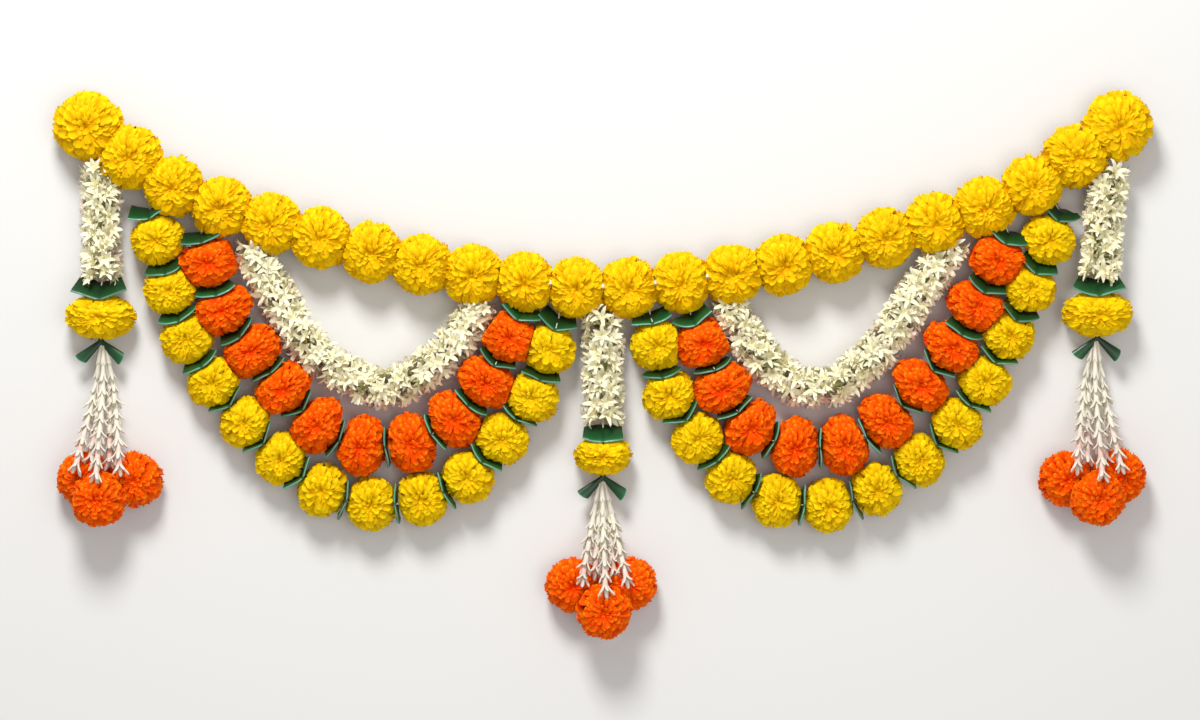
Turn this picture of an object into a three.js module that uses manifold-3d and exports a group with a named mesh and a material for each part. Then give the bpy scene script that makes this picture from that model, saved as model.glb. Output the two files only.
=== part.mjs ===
// A marigold door garland (toran): a main string of yellow blooms, two double swags of yellow and
// orange blooms with a folded leaf pinned between neighbours, two jasmine swags and three tassels.
// It lies flat, spread as it hangs in a doorway: +X to the right, +Y up the doorway, +Z up from the
// surface that it rests on. Millimetres. Blooms touch the surface at z = 0.
import * as THREE from "three";
import { mergeVertices } from "three/addons/utils/BufferGeometryUtils.js";
import Module from "manifold-3d";

const wasm = await Module();
wasm.setup();

// Clearances and thread
const GAP = 0.3;
const THREAD_RADIUS = 0.8;
const THREAD_SIDES = 3;
const BORE_RADIUS = THREAD_RADIUS + 2 * GAP; // wider at the corners, so that the sides keep the gap

// Main string: half of its route, from the middle to the right-hand end, then mirrored
const MAIN_HALF = [[0, 68], [77, 75], [164, 90], [254, 114], [344, 142], [387, 161], [464, 215]];
const MAIN_BLOOMS = 22;
const MAIN_RADIUS = 28.5;
const MAIN_END_GROWTH = [4, 1.5]; // the end bloom and the one next to it are larger
const MAIN_DEPTH = 29;

// Swag rows: the routes run from the first bloom's centre to the last one's
const SWAGS = {
  left: {
    outer: [[-402, 112], [-374, 22], [-319, -57], [-255, -112], [-211, -126], [-163, -121],
      [-120, -100], [-65, -31], [-49, 14]],
    inner: [[-355, 91], [-342, 49], [-313, 9], [-253, -58], [-215, -74], [-173, -71],
      [-136, -51], [-109, -22], [-85, 24]],
    jasmine: [[-319, 112], [-302, 75], [-264, 15], [-223, -14], [-201, -22], [-179, -16],
      [-140, 14], [-108, 57]],
  },
  right: {
    outer: [[402, 112], [363, 21], [315, -58], [248, -112], [206, -127], [158, -123],
      [115, -101], [61, -30], [49, 17]],
    inner: [[355, 93], [336, 51], [309, 9], [248, -58], [211, -74], [168, -74],
      [134, -58], [109, -24], [90, 19]],
    jasmine: [[319, 112], [286, 67], [254, 19], [218, -15], [197, -22], [177, -19],
      [137, 16], [112, 59]],
  },
};
const OUTER = { blooms: 13, groups: [4, 5, 4], across: 25.5, depth: 25 };
const INNER = { blooms: 10, groups: [3, 4, 3], across: 29, depth: 28.5 };
const PRESS = 5; // how far a bloom would reach past the middle between it and the next one
const UNDER_LEAF = 10; // how far one lower petal does reach, under the leaf and into the next bloom

// Tassels: top of the jasmine strand, its foot, then the bloom, the buds and the bunch below it
const TASSELS = {
  left: { top: [-453, 183], foot: [-452, 74], bloom: [-453, 43], across: 32.5, along: 21.5,
    budTop: [-451, 19], bunch: [[-468, -103], [-422, -104], [-452, -121]] },
  middle: { top: [0, 47], foot: [0, -53], bloom: [0, -82], across: 26.5, along: 19,
    budTop: [-1, -104], bunch: [[-27, -199], [24, -198], [1, -221]] },
  right: { top: [457, 180], foot: [447, 75], bloom: [446, 46], across: 33, along: 21.5,
    budTop: [444, 23], bunch: [[418, -103], [465, -101], [443, -120]] },
};
const TASSEL_DEPTH = 27.5;
const BUNCH_RADIUS = 25.5;
const BUNCH_RISE = 24; // the third bloom of a bunch lies on the other two

// Leaves: folded blades, pinned crosswise on the thread, that lean down the doorway
const LEAF = { length: 37, foot: 26, thickness: 1.8, below: 3.5, above: 19, droop: 12 };
const COLLAR_LEAF = { length: 51, foot: 40, thickness: 2, below: 3.5, above: 19, droop: 13 };
const END_LEAF_SHIFT = 4.5; // the leaf at the end of a row sits a little further from its bloom

// Jasmine: a rope of florets, in staggered rows of pointed petals
const JASMINE_END = 0.85; // the share of its width that a rope keeps at its ends
const JASMINE = {
  around: 5, pitch: 12, root: 9.5, tip: 19.4, height: 20,
  taper: (u) => THREE.MathUtils.mapLinear(Math.max(0.7, Math.abs(2 * u - 1)), 0.7, 1, 1, JASMINE_END),
};
const JASMINE_PARTS = 3;
const CORD_ROOT = 18; // how deep the cord of a rope starts inside its petals
const BUDS = { around: 3, pitch: 14, root: 2.6, tip: 6.5, taper: (u) => Math.min(1, 0.4 + 1.6 * u) };
// Bud strings: where each ends, from the front bloom of the bunch, and its heights on the way
const KNOT_RADIUS = 6.5; // of the knot that the strings hang from
const BUD_STRINGS = [
  { foot: [-15, 19], heights: [10, 21, 53] },
  { foot: [1, 22], heights: [22, 34, 64] },
  { foot: [17, 18], heights: [10, 21, 53] },
];

const YELLOW = 0xf5c400;
const ORANGE = 0xf4530a;
const WHITE = 0xf3f0de;
const GREEN = 0x1d5a33;
const COTTON = 0xe8e2cd;

// Seeded random numbers from 0 to 1, the same on every run
function randomFrom(seed) {
  let state = seed >>> 0;
  return () => {
    state = (state + 0x6d2b79f5) >>> 0;
    let t = Math.imul(state ^ (state >>> 15), 1 | state);
    t = (t + Math.imul(t ^ (t >>> 7), 61 | t)) ^ t;
    return ((t ^ (t >>> 14)) >>> 0) / 4294967296;
  };
}

const UP = new THREE.Vector3(0, 0, 1);

// Solids and geometry
function solidOf(geometry) {
  const bare = geometry.index ? geometry.toNonIndexed() : geometry.clone();
  bare.deleteAttribute("normal");
  bare.deleteAttribute("uv");
  const merged = mergeVertices(bare, 1e-3);
  return new wasm.Manifold(new wasm.Mesh({
    numProp: 3,
    vertProperties: new Float32Array(merged.attributes.position.array),
    triVerts: new Uint32Array(merged.index.array),
  }));
}

function geometryOf(solid) {
  const mesh = solid.getMesh();
  const positions = new Float32Array(mesh.numVert * 3);
  for (let i = 0; i < mesh.numVert; i++) {
    positions.set(mesh.vertProperties.subarray(i * mesh.numProp, i * mesh.numProp + 3), i * 3);
  }
  const geometry = new THREE.BufferGeometry();
  geometry.setAttribute("position", new THREE.BufferAttribute(positions, 3));
  geometry.setIndex(new THREE.BufferAttribute(mesh.triVerts, 1));
  geometry.computeVertexNormals();
  return geometry;
}

const joined = (solids) => wasm.Manifold.union(solids);

// The largest body of a solid, without the loose scraps that a cut leaves
function mainBody(solid) {
  return solid.decompose().sort((a, b) => b.volume() - a.volume())[0];
}

// A closed surface of staggered rows of diamonds, each raised to a point of its own: a petal.
// base(row, angle) and tip(row, angle) give points, and each end is closed on a centre point.
function petalLattice({ around, rows, base, tip, startCentre, endCentre }) {
  const step = (2 * Math.PI) / around;
  const points = [];
  const faces = [];
  const stagger = (row) => (row % 2) / 2;
  for (let row = 0; row < rows; row++) {
    for (let i = 0; i < around; i++) points.push(base(row, (i + stagger(row)) * step));
  }
  const at = (row, i) => row * around + ((i + around) % around);
  for (let row = 0; row < rows; row++) {
    for (let i = 0; i < around; i++) {
      const opposite = i + (row % 2);
      const loop = [at(row, i)];
      if (row < rows - 1) loop.push(at(row + 1, opposite));
      loop.push(at(row, i + 1));
      if (row > 0) loop.push(at(row - 1, opposite));
      const peak = points.push(tip(row, (i + stagger(row) + 0.5) * step)) - 1;
      loop.forEach((corner, k) => faces.push(peak, corner, loop[(k + 1) % loop.length]));
    }
  }
  const start = points.push(startCentre) - 1;
  const end = points.push(endCentre) - 1;
  for (let i = 0; i < around; i++) {
    faces.push(start, at(0, i), at(0, i + 1));
    faces.push(end, at(rows - 1, i + 1), at(rows - 1, i));
  }
  const geometry = new THREE.BufferGeometry().setFromPoints(points);
  geometry.setIndex(faces);
  return solidOf(geometry);
}

// A marigold bloom, facing up: four staggered layers of petals over a ball with a flat back.
// Angles are from the face, and radii are shares of the bloom's own half axes.
const BLOOM_ROWS = [32, 66, 102, 140].map(THREE.MathUtils.degToRad);
const BLOOM_ROW_RADII = [0.9, 0.85, 0.86, 0.94];
const BLOOM_TIPS = [52, 80, 113, 129].map(THREE.MathUtils.degToRad);
const BLOOM_NAVEL = 0.7;
const FLAT_BACK = -Math.cos(BLOOM_ROWS[3]) * BLOOM_ROW_RADII[3];

function onBall(angle, azimuth, radius) {
  const spread = Math.sin(angle) * radius;
  return new THREE.Vector3(
    Math.cos(azimuth) * spread, Math.sin(azimuth) * spread, Math.cos(angle) * radius);
}

// A point that would cross one of the planes is drawn in towards the bloom's centre
function drawnIn(offset, planes) {
  const shares = planes.map(({ normal, distance }) => distance / offset.dot(normal))
    .filter((share) => share > 0 && share < 1);
  return offset.multiplyScalar(Math.min(1, ...shares));
}

// In a swag row, the last petal of the lowest layer points along the row. It reaches under the
// leaf and grows into the next bloom of the same node, between two of its petals.
function bloomSolid(bloom, planes) {
  const random = randomFrom(bloom.seed);
  const spin = bloom.row ? 0.15 * (random() - 0.5) : random() * Math.PI;
  const placed = (point) => drawnIn(
    point.multiply(bloom.axes).applyAxisAngle(UP, bloom.turn), planes).add(bloom.centre);
  const isLast = (row, azimuth) => row === BLOOM_ROWS.length - 1 && Math.cos(azimuth) > 0.99;
  const tip = (row, azimuth) => {
    if (bloom.lastPetal && isLast(row, azimuth)) {
      return bloom.lastPetal.clone().applyAxisAngle(UP, bloom.turn).add(bloom.centre);
    }
    const angle = BLOOM_TIPS[row] + 0.1 * (random() - 0.5);
    return placed(onBall(angle, azimuth + spin, 0.95 + 0.05 * random()));
  };
  return petalLattice({
    around: bloom.petals,
    rows: BLOOM_ROWS.length,
    base: (row, azimuth) => placed(onBall(BLOOM_ROWS[row], azimuth + spin, BLOOM_ROW_RADII[row])),
    tip,
    startCentre: placed(onBall(0, 0, BLOOM_NAVEL)),
    endCentre: placed(new THREE.Vector3(0, 0, -FLAT_BACK)),
  });
}

// How far a bloom reaches from its centre in a direction
function reach(bloom, direction) {
  const local = direction.clone().applyAxisAngle(UP, -bloom.turn);
  return local.multiply(bloom.axes).length();
}

// Blooms press flat against each other where they would cross. Neighbours in a swag row have a
// leaf between them instead, and the blooms of a bunch grow into each other.
function planesAgainst(bloom, others) {
  const planes = [];
  for (const other of others) {
    if (other.node === bloom.node || (bloom.row && other.row === bloom.row)) continue;
    const normal = other.centre.clone().sub(bloom.centre);
    const between = normal.length();
    normal.normalize();
    const own = reach(bloom, normal);
    const theirs = reach(other, normal);
    if (own + theirs + GAP < between) continue;
    planes.push({ normal, distance: (between * own) / (own + theirs) - GAP / 2 });
  }
  return planes;
}

// A ball of a bloom's outer size, to clear what lies against it
function bloomClearance(bloom) {
  const ball = new THREE.IcosahedronGeometry(1, 1);
  const margin = 1.06; // the middles of its faces lie that much further in than its corners
  ball.scale(bloom.axes.x * margin, bloom.axes.y * margin, bloom.axes.z * margin);
  ball.rotateZ(bloom.turn);
  ball.translate(bloom.centre.x, bloom.centre.y, bloom.centre.z);
  return solidOf(ball);
}

// Routes
const route = (points) => new THREE.CatmullRomCurve3(points, false, "catmullrom", 0.5);
const routeAt = (points, height) => route(points.map(([x, y]) => new THREE.Vector3(x, y, height)));

function nearestPoint(path, from) {
  const points = path.getSpacedPoints(400);
  return points.sort((a, b) => a.distanceTo(from) - b.distanceTo(from))[0];
}

// A route that steps from point to point, so that a tube along it bends at its points only
class ThreadRoute extends THREE.CatmullRomCurve3 {
  getUtoTmapping(u) {
    return u;
  }
}

function tube(points, radius) {
  const section = new THREE.Shape(new THREE.Path().absarc(0, 0, radius, 0, 2 * Math.PI)
    .getSpacedPoints(THREAD_SIDES).slice(1));
  const extrudePath = new ThreadRoute(points, false, "catmullrom", 0.5);
  const steps = points.length - 1;
  return solidOf(new THREE.ExtrudeGeometry(section, { steps, bevelEnabled: false, extrudePath }));
}

// A thread with its bore: the same tube, wider and a little longer
function threadAlong(points) {
  const stretch = (from, to) => to.clone().sub(from).setLength(GAP).add(to);
  const longer = [
    stretch(points[1], points[0]), ...points.slice(1, -1), stretch(points.at(-2), points.at(-1))];
  return { solid: tube(points, THREAD_RADIUS), bore: tube(longer, BORE_RADIUS) };
}

// A folded leaf, pinned across the thread at a point. It leans down the doorway.
function leafFrame(size, { point, direction }) {
  const across = direction.clone().cross(UP).normalize();
  const lean = Math.atan((-size.droop * direction.y) / (size.above + size.below));
  const up = UP.clone().applyAxisAngle(across, -lean);
  const normal = up.clone().cross(across).normalize();
  return { foot: point.clone().addScaledVector(up, -size.below), up, normal, across };
}

function leafSolid(size, station, margin) {
  const { foot, up, normal, across } = leafFrame(size, station);
  const top = size.above + size.below + margin;
  const outline = new THREE.Shape([
    new THREE.Vector2(-size.foot / 2 - margin, -margin), new THREE.Vector2(size.foot / 2 + margin, -margin),
    new THREE.Vector2(size.length / 2 + margin, top), new THREE.Vector2(-size.length / 2 - margin, top),
  ]);
  const depth = size.thickness + 2 * margin;
  const blade = new THREE.ExtrudeGeometry(outline, { depth, steps: 1, bevelEnabled: false });
  blade.translate(0, 0, -depth / 2);
  blade.applyMatrix4(new THREE.Matrix4().makeBasis(across, up, normal.clone().negate()));
  blade.translate(foot.x, foot.y, foot.z);
  return solidOf(blade);
}

// A bloom ends at the leaves on both sides of it
function planesAtLeaves(bloom) {
  const room = LEAF.thickness / 2 + GAP + 0.05;
  return [bloom.before, bloom.after].map((station) => {
    const { foot, normal } = leafFrame(LEAF, station);
    const away = foot.clone().sub(bloom.centre).dot(normal);
    if (away < 0) normal.negate();
    return { normal, distance: Math.abs(away) - room };
  });
}

// Beside the end of a leaf of another row, it stays short of that end
function planesAtLeafTips(bloom, leafyRows) {
  const stations = leafyRows.filter((row) => row.name !== bloom.row).flatMap((row) => row.stations);
  return stations.flatMap((station) => {
    const { across } = leafFrame(LEAF, station);
    const offset = station.point.clone().sub(bloom.centre);
    const sideways = offset.dot(across);
    const distance = Math.abs(sideways) - LEAF.length / 2 - GAP - 0.05;
    const beside = Math.abs(offset.dot(station.direction)) < bloom.axes.x + LEAF.droop;
    if (!beside || distance < 0.6 * bloom.axes.y || distance > bloom.axes.y) return [];
    return [{ normal: across.clone().multiplyScalar(Math.sign(sideways)), distance }];
  });
}

// Blooms of the main string
const mainPoints = [...MAIN_HALF.slice(1).map(([x, y]) => [-x, y]).reverse(), ...MAIN_HALF];
const mainRoute = routeAt(mainPoints, MAIN_DEPTH * FLAT_BACK);

const number = (i) => String(i + 1).padStart(2, "0");
const turnOf = (tangent) => Math.atan2(tangent.y, tangent.x);

function mainBlooms() {
  const pitch = mainRoute.getLength() / (MAIN_BLOOMS - 1);
  return Array.from({ length: MAIN_BLOOMS }, (_, i) => {
    const u = i / (MAIN_BLOOMS - 1);
    const fromEnd = Math.min(i, MAIN_BLOOMS - 1 - i);
    const radius = MAIN_RADIUS + (MAIN_END_GROWTH[fromEnd] ?? 0);
    return {
      node: `main_bloom_${number(i)}`,
      centre: mainRoute.getPointAt(u),
      axes: new THREE.Vector3(Math.max(radius, pitch / 2 + PRESS), radius, MAIN_DEPTH),
      turn: turnOf(mainRoute.getTangentAt(u)),
      petals: 6,
      seed: 100 + i,
      colour: YELLOW,
    };
  });
}

// A swag row: its blooms, and the leafy thread through them, tied to the main thread at both ends
function swagRow(side, name, points, size, colour, seed) {
  const path = routeAt(points, size.depth * FLAT_BACK);
  const pitch = path.getLength() / (size.blooms - 1);
  const nodes = size.groups.flatMap((count, g) => Array(count).fill(`${side}_${name}_blooms_${g + 1}`));
  const blooms = nodes.map((node, i) => {
    const u = i / (size.blooms - 1);
    return {
      node,
      row: `${side}_${name}`,
      centre: path.getPointAt(u),
      axes: new THREE.Vector3(pitch / 2 + PRESS, size.across, size.depth),
      lastPetal: node === nodes[i + 1] && new THREE.Vector3(pitch / 2 + UNDER_LEAF, 0, -0.48 * size.depth),
      turn: turnOf(path.getTangentAt(u)),
      petals: 5,
      seed: seed + i,
      colour,
    };
  });
  const stations = blooms.slice(1).map((_, i) => {
    const u = (i + 0.5) / (size.blooms - 1);
    return { point: path.getPointAt(u), direction: path.getTangentAt(u) };
  });
  const ends = [0, 1].map((u) => {
    const direction = path.getTangentAt(u);
    const away = (u ? 1 : -1) * (pitch / 2 + END_LEAF_SHIFT);
    return { point: path.getPointAt(u).addScaledVector(direction, away), direction };
  });
  const leaves = [ends[0], ...stations, ends[1]];
  blooms.forEach((bloom, i) => Object.assign(bloom, { before: leaves[i], after: leaves[i + 1] }));
  return { name: `${side}_${name}`, blooms, stations: leaves };
}

// Where a thread is tied: the nearest point of the main thread, just short of it
function tiePoint(from) {
  const nearest = nearestPoint(mainRoute, from);
  const back = from.clone().sub(nearest).setLength(THREAD_RADIUS + GAP);
  return nearest.add(back);
}

function leafyThread(row) {
  const points = row.stations.map((s) => s.point);
  const thread = threadAlong([tiePoint(points[0]), ...points, tiePoint(points.at(-1))]);
  const leaves = (margin) => row.stations.map((station) => leafSolid(LEAF, station, margin));
  return {
    node: `${row.name}_leafy_thread`,
    solid: joined([thread.solid, ...leaves(0)]),
    clearance: joined([thread.bore, ...leaves(GAP)]),
    colour: GREEN,
  };
}

// A rope of petals along part of a path, from share u0 to share u1 of its length
function petalRope({ path, u0, u1, size, seed, lean }) {
  const random = randomFrom(seed);
  const length = (u1 - u0) * path.getLength();
  const rows = Math.max(3, Math.round(length / size.pitch) + 1);
  const share = (row) => u0 + ((u1 - u0) * Math.min(Math.max(row, 0), rows - 1)) / (rows - 1);
  const point = (row, azimuth, radius) => {
    const u = Math.min(Math.max(share(row), 0), 1);
    const tangent = path.getTangentAt(u);
    const side = new THREE.Vector3(0, 0, 1).cross(tangent).normalize();
    const up = tangent.clone().cross(side);
    return path.getPointAt(u)
      .addScaledVector(up, Math.cos(azimuth) * radius * size.taper(u))
      .addScaledVector(side, Math.sin(azimuth) * radius * size.taper(u));
  };
  return petalLattice({
    around: size.around,
    rows,
    base: (row, azimuth) => point(row, azimuth, size.root),
    tip: (row, azimuth) => point(row + lean + 0.5 * (random() - 0.5),
      azimuth + (0.5 * (random() - 0.5)) / size.around, size.tip * (0.88 + 0.12 * random())),
    startCentre: path.getPointAt(u0),
    endCentre: path.getPointAt(u1),
  });
}

// A jasmine swag: one rope in parts, whose cord runs on from both ends to the main thread
function jasmineSwag(side, points, seed) {
  const path = routeAt(points, JASMINE.height);
  const margin = GAP / 2 / path.getLength();
  const parts = Array.from({ length: JASMINE_PARTS }, (_, i) => ({
    node: `${side}_jasmine_swag_${i + 1}`,
    petals: petalRope({
      path, size: JASMINE, seed: seed + i, lean: 0,
      u0: i / JASMINE_PARTS + (i ? margin : 0),
      u1: (i + 1) / JASMINE_PARTS - (i < JASMINE_PARTS - 1 ? margin : 0),
    }),
    cords: [],
  }));
  const cords = [0, 1].map((u) => {
    const end = path.getPointAt(u);
    const inwards = path.getTangentAt(u).multiplyScalar(u ? -CORD_ROOT : CORD_ROOT);
    return threadAlong([end.clone().add(inwards), tiePoint(end)]);
  });
  parts[0].cords.push(cords[0]);
  parts.at(-1).cords.push(cords[1]);
  return { parts, path };
}

// A leaf rolled into a cone that hangs from the thread, turned from straight down by an angle
function leafCone(point, angle, margin) {
  const size = 1 + margin / 6;
  const outline = new THREE.Shape([
    new THREE.Vector2(-2.5, 3), new THREE.Vector2(2.5, 3),
    new THREE.Vector2(7 * size, -22 - margin), new THREE.Vector2(-5 * size, -25 - margin),
  ]);
  const depth = 5 + 2 * margin;
  const cone = new THREE.ExtrudeGeometry(outline, { depth, steps: 1, bevelEnabled: false });
  cone.translate(0, 0, -depth / 2);
  cone.rotateY(0.5 * Math.sign(angle));
  cone.rotateZ(angle);
  cone.translate(point.x, point.y, point.z);
  return solidOf(cone);
}

// Tassels
function tasselPieces(side, spec, seed) {
  const at = ([x, y], z = TASSEL_DEPTH * FLAT_BACK) => new THREE.Vector3(x, y, z);
  const down = new THREE.Vector3(0, -1, 0);
  const strandPath = route([at(spec.top), at(spec.top).lerp(at(spec.foot), 0.5), at(spec.foot)]);
  const cordRoot = at(spec.top).add(new THREE.Vector3(0, -CORD_ROOT, 0));
  const cord = threadAlong([cordRoot, tiePoint(at(spec.top))]);
  const strand = {
    node: `${side}_tassel_jasmine`,
    petals: petalRope({ path: strandPath, u0: 0, u1: 1, size: JASMINE, seed, lean: 0 }),
    cords: [cord],
  };
  const bloom = {
    node: `${side}_tassel_bloom`,
    centre: at(spec.bloom),
    axes: new THREE.Vector3(spec.along, spec.across, TASSEL_DEPTH),
    turn: -Math.PI / 2,
    petals: 6,
    seed: seed + 1,
    colour: YELLOW,
  };
  const collar = at(spec.bloom).add(new THREE.Vector3(0, spec.along + 2.5, 0));
  const underBloom = at(spec.bloom).add(new THREE.Vector3(0, -spec.along - 1, 0));
  const threadTop = at(spec.foot).add(new THREE.Vector3(0, -GAP, 0));
  const threadFoot = at(spec.budTop).add(new THREE.Vector3(0, GAP, 0));
  const thread = threadAlong([threadTop, collar, underBloom, threadFoot]);
  const greens = (margin) => [
    leafSolid(COLLAR_LEAF, { point: collar, direction: down }, margin),
    leafCone(underBloom, -0.85, margin),
    leafCone(underBloom, 0.85, margin),
  ];
  const leaves = {
    node: `${side}_tassel_leafy_thread`,
    solid: joined([thread.solid, ...greens(0)]),
    clearance: joined([thread.bore, ...greens(GAP)]),
    colour: GREEN,
  };
  const flat = BUNCH_RADIUS * FLAT_BACK;
  const bunch = spec.bunch.map((place, i) => ({
    node: `${side}_tassel_bunch`,
    centre: at(place, flat + (i === 2 ? BUNCH_RISE : 0)),
    axes: new THREE.Vector3(BUNCH_RADIUS, BUNCH_RADIUS, BUNCH_RADIUS),
    turn: 0,
    petals: 6,
    seed: seed + 2 + i,
    colour: ORANGE,
  }));
  const knotCentre = at(spec.budTop).add(new THREE.Vector3(0, -KNOT_RADIUS, 0));
  const paths = BUD_STRINGS.map(({ foot: [x, y], heights: [low, middle, high] }) => {
    const top = knotCentre.clone().add(new THREE.Vector3(x * 0.33, 0, 0));
    const foot = at(spec.bunch[2], high).add(new THREE.Vector3(x, y, 0));
    const onTheWay = (share, height) => top.clone().lerp(foot, share).setZ(height);
    return route([top, onTheWay(0.33, low), onTheWay(0.58, middle), foot]);
  });
  const strings = paths.map((path, i) => petalRope({
    path, u0: 0, u1: 1, size: BUDS, seed: seed + 10 + i, lean: 0.8,
  }));
  const bunchThread = threadAlong([paths[1].getPointAt(0.9), bunch[2].centre]);
  const knot = new THREE.IcosahedronGeometry(KNOT_RADIUS, 0);
  knot.translate(knotCentre.x, knotCentre.y, knotCentre.z);
  const buds = {
    node: `${side}_tassel_buds`,
    petals: joined([...strings, solidOf(knot)]),
    cords: [bunchThread],
  };
  return { strand, bloom, leaves, bunch, buds };
}

// Everything in its place, then cleared of its neighbours
const rows = Object.entries(SWAGS).flatMap(([side, swag], i) => [
  swagRow(side, "outer", swag.outer, OUTER, YELLOW, 200 + 100 * i),
  swagRow(side, "inner", swag.inner, INNER, ORANGE, 250 + 100 * i),
]);
const jasmine = Object.entries(SWAGS).map(([side, swag], i) => jasmineSwag(side, swag.jasmine, 500 + 10 * i));
const tassels = Object.entries(TASSELS).map(([side, spec], i) => tasselPieces(side, spec, 600 + 20 * i));
const leafyThreads = [...rows.map(leafyThread), ...tassels.map((t) => t.leaves)];

const mainThread = threadAlong(mainRoute.getSpacedPoints(MAIN_BLOOMS - 1));

const blooms = [
  ...mainBlooms(),
  ...rows.flatMap((row) => row.blooms),
  ...tassels.flatMap((t) => [t.bloom, ...t.bunch]),
];
const whites = [...jasmine.flatMap((swag) => swag.parts), ...tassels.flatMap((t) => [t.strand, t.buds])];
const bores = joined([
  mainThread.bore,
  ...leafyThreads.map((t) => t.clearance),
  ...whites.flatMap((white) => white.cords.map((cord) => cord.bore)),
]);

// A bloom of the inner row keeps clear of the jasmine beside it
function planesAtJasmine(bloom) {
  return jasmine.map(({ path }) => {
    const near = nearestPoint(path, bloom.centre);
    const normal = near.sub(bloom.centre).setZ(0);
    const distance = normal.length() - JASMINE.tip * (1 + JASMINE_END) / 2 - GAP;
    return { normal: normal.normalize(), distance };
  });
}

const pieces = new Map();
for (const bloom of blooms) {
  const planes = planesAgainst(bloom, blooms);
  if (bloom.row) planes.push(...planesAtLeaves(bloom), ...planesAtLeafTips(bloom, rows));
  if (bloom.row && bloom.colour === ORANGE) planes.push(...planesAtJasmine(bloom));
  const entry = pieces.get(bloom.node) ?? { node: bloom.node, colour: bloom.colour, solids: [] };
  entry.solids.push(bloomSolid(bloom, planes));
  pieces.set(bloom.node, entry);
}
const bloomPieces = [...pieces.values()].map(({ node, colour, solids }) => ({
  node, colour, solid: mainBody(joined(solids).subtract(bores)),
}));

const clearances = joined([...blooms.map(bloomClearance), ...leafyThreads.map((t) => t.clearance)]);
const whitePieces = whites.map(({ node, petals, cords }) => ({
  node,
  solid: joined([mainBody(petals.subtract(clearances)), ...cords.map((cord) => cord.solid)]),
  colour: WHITE,
}));

const garland = new THREE.Group();
garland.name = "marigold_garland";

const mainPiece = { node: "main_thread", solid: mainThread.solid, colour: COTTON };
for (const { node, solid, colour } of [mainPiece, ...bloomPieces, ...leafyThreads, ...whitePieces]) {
  const material = new THREE.MeshStandardMaterial({ color: colour, roughness: 0.75, metalness: 0 });
  const mesh = new THREE.Mesh(geometryOf(solid), material);
  mesh.name = node;
  garland.add(mesh);
}

// The origin is in the middle of the garland's outline, on the surface that it rests on
const middle = new THREE.Box3().setFromObject(garland).getCenter(new THREE.Vector3());
garland.children.forEach((mesh) => mesh.geometry.translate(-middle.x, -middle.y, 0));

export default garland;
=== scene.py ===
"""A marigold door garland, laid flat on a pale floor and seen from straight above.

Each part of the garland is grown here petal by petal, floret by floret and leaf by leaf, on the
same routes as the solids that it stands for. Lengths are in millimetres up to the mesh itself.
The floor, the lights and the camera are in metres.
"""
import math
from collections import namedtuple

import bpy
import numpy as np
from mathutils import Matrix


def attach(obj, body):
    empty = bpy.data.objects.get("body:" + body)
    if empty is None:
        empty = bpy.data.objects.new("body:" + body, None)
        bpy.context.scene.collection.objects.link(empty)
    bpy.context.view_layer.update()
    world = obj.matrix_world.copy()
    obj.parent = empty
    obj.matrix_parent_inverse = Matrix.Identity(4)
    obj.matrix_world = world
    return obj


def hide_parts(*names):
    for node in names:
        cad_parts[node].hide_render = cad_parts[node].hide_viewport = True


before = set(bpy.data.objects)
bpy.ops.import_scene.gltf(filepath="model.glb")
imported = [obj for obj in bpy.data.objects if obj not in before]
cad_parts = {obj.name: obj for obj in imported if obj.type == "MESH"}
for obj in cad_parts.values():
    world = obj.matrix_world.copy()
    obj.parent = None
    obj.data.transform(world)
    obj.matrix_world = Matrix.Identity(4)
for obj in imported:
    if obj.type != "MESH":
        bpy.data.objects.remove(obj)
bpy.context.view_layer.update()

MM = 0.001
UP = np.array([0.0, 0.0, 1.0])
DOWN = np.array([0.0, -1.0, 0.0])  # down the doorway
TINY = 1e-6

# Where the middle of the garland's outline lies, on the drawing that the routes below are from
OUTLINE_MIDDLE = np.array([-0.689, 0.611, 0.0])

# A bloom's depth is its half height. Its back is flat, at this share of the depth below its centre.
FLAT_BACK = 0.72

# Main string: half of its route, from the middle to the right-hand end, then mirrored
MAIN_HALF = [[0, 68], [77, 75], [164, 90], [254, 114], [344, 142], [387, 161], [464, 215]]
MAIN_BLOOMS = 22
MAIN_RADIUS = 28.5
MAIN_DEPTH = 29
MAIN_END_GROWTH = [4, 1.5]  # added to the radius of each end's last bloom, and of the one before it

# Pale stubs that stand up from the main thread, halfway between two blooms counted from 0
STUB_GAPS = [9.5, 10.5, 11.5, 12.5]
STUB_POINTS = np.array([[0, 0, 0], [0, 1.5, 9], [0, 3, 16], [0, 0, 18]])
STUB_RADIUS = 1.3

# Swags: the routes of their rows run from the first bloom's centre to the last one's
SWAGS = {
    "left": {
        "outer": [[-402, 112], [-374, 22], [-319, -57], [-255, -112], [-211, -126],
                  [-163, -121], [-120, -100], [-65, -31], [-49, 14]],
        "inner": [[-355, 91], [-342, 49], [-313, 9], [-253, -58], [-215, -74],
                  [-173, -71], [-136, -51], [-109, -22], [-85, 24]],
        "jasmine": [[-319, 112], [-302, 75], [-264, 15], [-225, -14], [-212, -20], [-198, -22],
                    [-184, -19.5], [-169, -11], [-139, 13], [-108, 57]],
    },
    "right": {
        "outer": [[402, 112], [363, 21], [315, -58], [248, -112], [206, -127],
                  [158, -123], [115, -101], [61, -30], [49, 17]],
        "inner": [[355, 93], [336, 51], [309, 9], [248, -58], [211, -74],
                  [168, -74], [134, -58], [109, -24], [90, 19]],
        "jasmine": [[319, 112], [286, 67], [254, 19], [219, -14], [206, -20], [192, -22],
                    [178, -20], [164, -12], [136, 15], [112, 59]],
    },
}
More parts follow.
